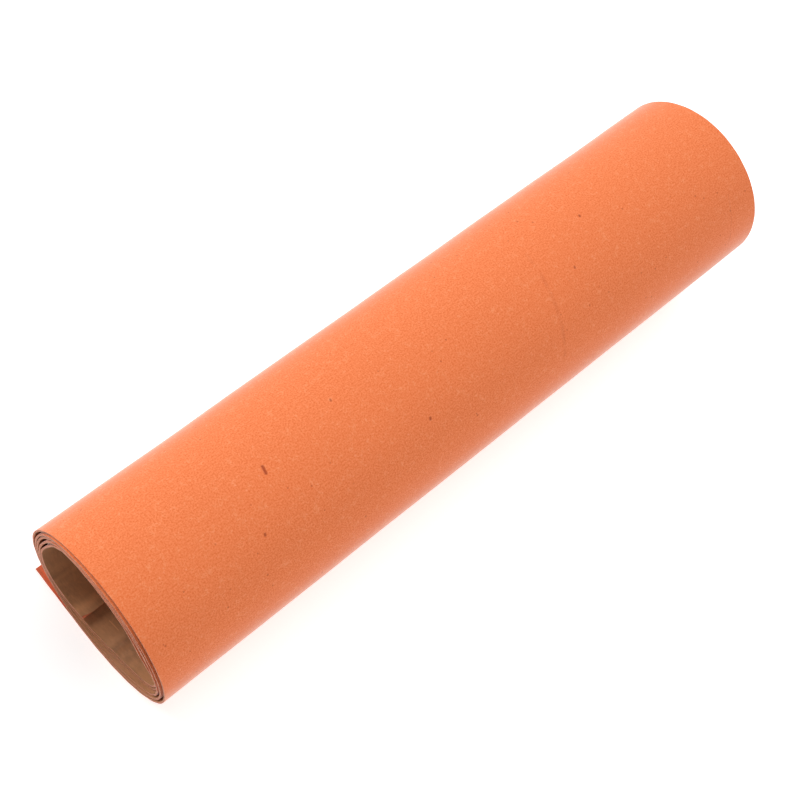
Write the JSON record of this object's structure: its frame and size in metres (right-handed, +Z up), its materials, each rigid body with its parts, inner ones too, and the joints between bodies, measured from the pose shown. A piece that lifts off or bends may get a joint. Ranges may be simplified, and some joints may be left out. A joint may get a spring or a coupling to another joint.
{
  "type": "grip tape roll",
  "caption": "Coreless roll of wide gritted adhesive tape on a release liner, its outer end lying flat and its inner end loose in the bore.",
  "frame": {"origin": "centre of the roll's footprint, on the surface it lies on", "axes": "+X along the roll's axis, +Y the way the flat outer end points, +Z up"},
  "size_m": [0.2286, 0.054, 0.0543],
  "materials": {
    "grit_coat": "fine matt abrasive grit in an orange binder",
    "carrier_film": "matt, dusty pinkish orange cut edge",
    "adhesive": "tacky, satin, orange red",
    "release_liner": "silicone-coated kraft paper, golden brown, satin gloss"
  },
  "bodies": {
    "tail_tip": {"tail_tip_grit": "grit_coat", "tail_tip_film": "carrier_film", "tail_tip_adhesive": "adhesive"},
    "tail_base": {"tail_base_grit": "grit_coat", "tail_base_film": "carrier_film", "tail_base_adhesive": "adhesive"},
    "tail_lip": {"tail_lip_liner": "release_liner"},
    "outer_strip_1": {"outer_strip_1_grit": "grit_coat", "outer_strip_1_film": "carrier_film", "outer_strip_1_adhesive": "adhesive", "outer_strip_1_liner": "release_liner"},
    "outer_strip_2": {"outer_strip_2_grit": "grit_coat", "outer_strip_2_film": "carrier_film", "outer_strip_2_adhesive": "adhesive", "outer_strip_2_liner": "release_liner"},
    "outer_strip_3": {"outer_strip_3_grit": "grit_coat", "outer_strip_3_film": "carrier_film", "outer_strip_3_adhesive": "adhesive", "outer_strip_3_liner": "release_liner"},
    "outer_strip_4": {"outer_strip_4_grit": "grit_coat", "outer_strip_4_film": "carrier_film", "outer_strip_4_adhesive": "adhesive", "outer_strip_4_liner": "release_liner"},
    "outer_strip_5": {"outer_strip_5_grit": "grit_coat", "outer_strip_5_film": "carrier_film", "outer_strip_5_adhesive": "adhesive", "outer_strip_5_liner": "release_liner"},
    "outer_strip_6": {"outer_strip_6_grit": "grit_coat", "outer_strip_6_film": "carrier_film", "outer_strip_6_adhesive": "adhesive", "outer_strip_6_liner": "release_liner"},
    "outer_strip_7": {"outer_strip_7_grit": "grit_coat", "outer_strip_7_film": "carrier_film", "outer_strip_7_adhesive": "adhesive", "outer_strip_7_liner": "release_liner"},
    "outer_strip_8": {"outer_strip_8_grit": "grit_coat", "outer_strip_8_film": "carrier_film", "outer_strip_8_adhesive": "adhesive", "outer_strip_8_liner": "release_liner"},
    "coil": {"coil_grit": "grit_coat", "coil_film": "carrier_film", "coil_adhesive": "adhesive", "coil_liner": "release_liner"},
    "inner_end": {"inner_end_grit": "grit_coat", "inner_end_film": "carrier_film", "inner_end_adhesive": "adhesive", "inner_end_liner": "release_liner"},
    "inner_lip": {"inner_lip_liner": "release_liner"}
  },
  "joints": [
    {"name": "tail_lift", "type": "hinge", "parent": "tail_base", "child": "tail_tip", "pos_m": [0, 0.00863, 0.00047], "axis": [1, 0, 0], "range_deg": [0, 30], "stiffness_Nm_per_rad": 0.12},
    {"name": "unroll_1", "type": "hinge", "parent": "tail_base", "child": "outer_strip_1", "pos_m": [0, 0.00023, 0], "axis": [1, 0, 0], "range_deg": [0, 7.5], "stiffness_Nm_per_rad": 0.12},
    {"name": "unroll_2", "type": "hinge", "parent": "outer_strip_1", "child": "outer_strip_2", "pos_m": [0, -0.00681, 0.00093], "axis": [1, 0, 0], "range_deg": [0, 15], "stiffness_Nm_per_rad": 0.12},
    {"name": "unroll_3", "type": "hinge", "parent": "outer_strip_2", "child": "outer_strip_3", "pos_m": [0, -0.01337, 0.00364], "axis": [1, 0, 0], "range_deg": [0, 15], "stiffness_Nm_per_rad": 0.12},
    {"name": "unroll_4", "type": "hinge", "parent": "outer_strip_3", "child": "outer_strip_4", "pos_m": [0, -0.01901, 0.00797], "axis": [1, 0, 0], "range_deg": [0, 15], "stiffness_Nm_per_rad": 0.12},
    {"name": "unroll_5", "type": "hinge", "parent": "outer_strip_4", "child": "outer_strip_5", "pos_m": [0, -0.02333, 0.0136], "axis": [1, 0, 0], "range_deg": [0, 15], "stiffness_Nm_per_rad": 0.12},
    {"name": "unroll_6", "type": "hinge", "parent": "outer_strip_5", "child": "outer_strip_6", "pos_m": [0, -0.02605, 0.02016], "axis": [1, 0, 0], "range_deg": [0, 15], "stiffness_Nm_per_rad": 0.12},
    {"name": "unroll_7", "type": "hinge", "parent": "outer_strip_6", "child": "outer_strip_7", "pos_m": [0, -0.02697, 0.0272], "axis": [1, 0, 0], "range_deg": [0, 15], "stiffness_Nm_per_rad": 0.12},
    {"name": "unroll_8", "type": "hinge", "parent": "outer_strip_7", "child": "outer_strip_8", "pos_m": [0, -0.02605, 0.03421], "axis": [1, 0, 0], "range_deg": [0, 15], "stiffness_Nm_per_rad": 0.12},
    {"name": "unroll_9", "type": "hinge", "parent": "outer_strip_8", "child": "coil", "pos_m": [0, -0.02335, 0.04074], "axis": [1, 0, 0], "range_deg": [0, 7.5], "stiffness_Nm_per_rad": 0.12},
    {"name": "inner_end_flex", "type": "hinge", "parent": "coil", "child": "inner_end", "pos_m": [0, 0.01842, 0.01286], "axis": [-1, 0, 0], "range_deg": [0, 35], "stiffness_Nm_per_rad": 0.12},
    {"name": "tail_liner_peel", "type": "hinge", "parent": "tail_base", "child": "tail_lip", "pos_m": [0, 0.00023, 0.00062], "axis": [1, 0, 0], "range_deg": [0, 5], "stiffness_Nm_per_rad": 0.0005},
    {"name": "inner_liner_peel", "type": "hinge", "parent": "inner_end", "child": "inner_lip", "pos_m": [0, 0.00947, 0.00638], "axis": [-1, 0, 0], "range_deg": [0, 60], "stiffness_Nm_per_rad": 0.0005}
  ]
}
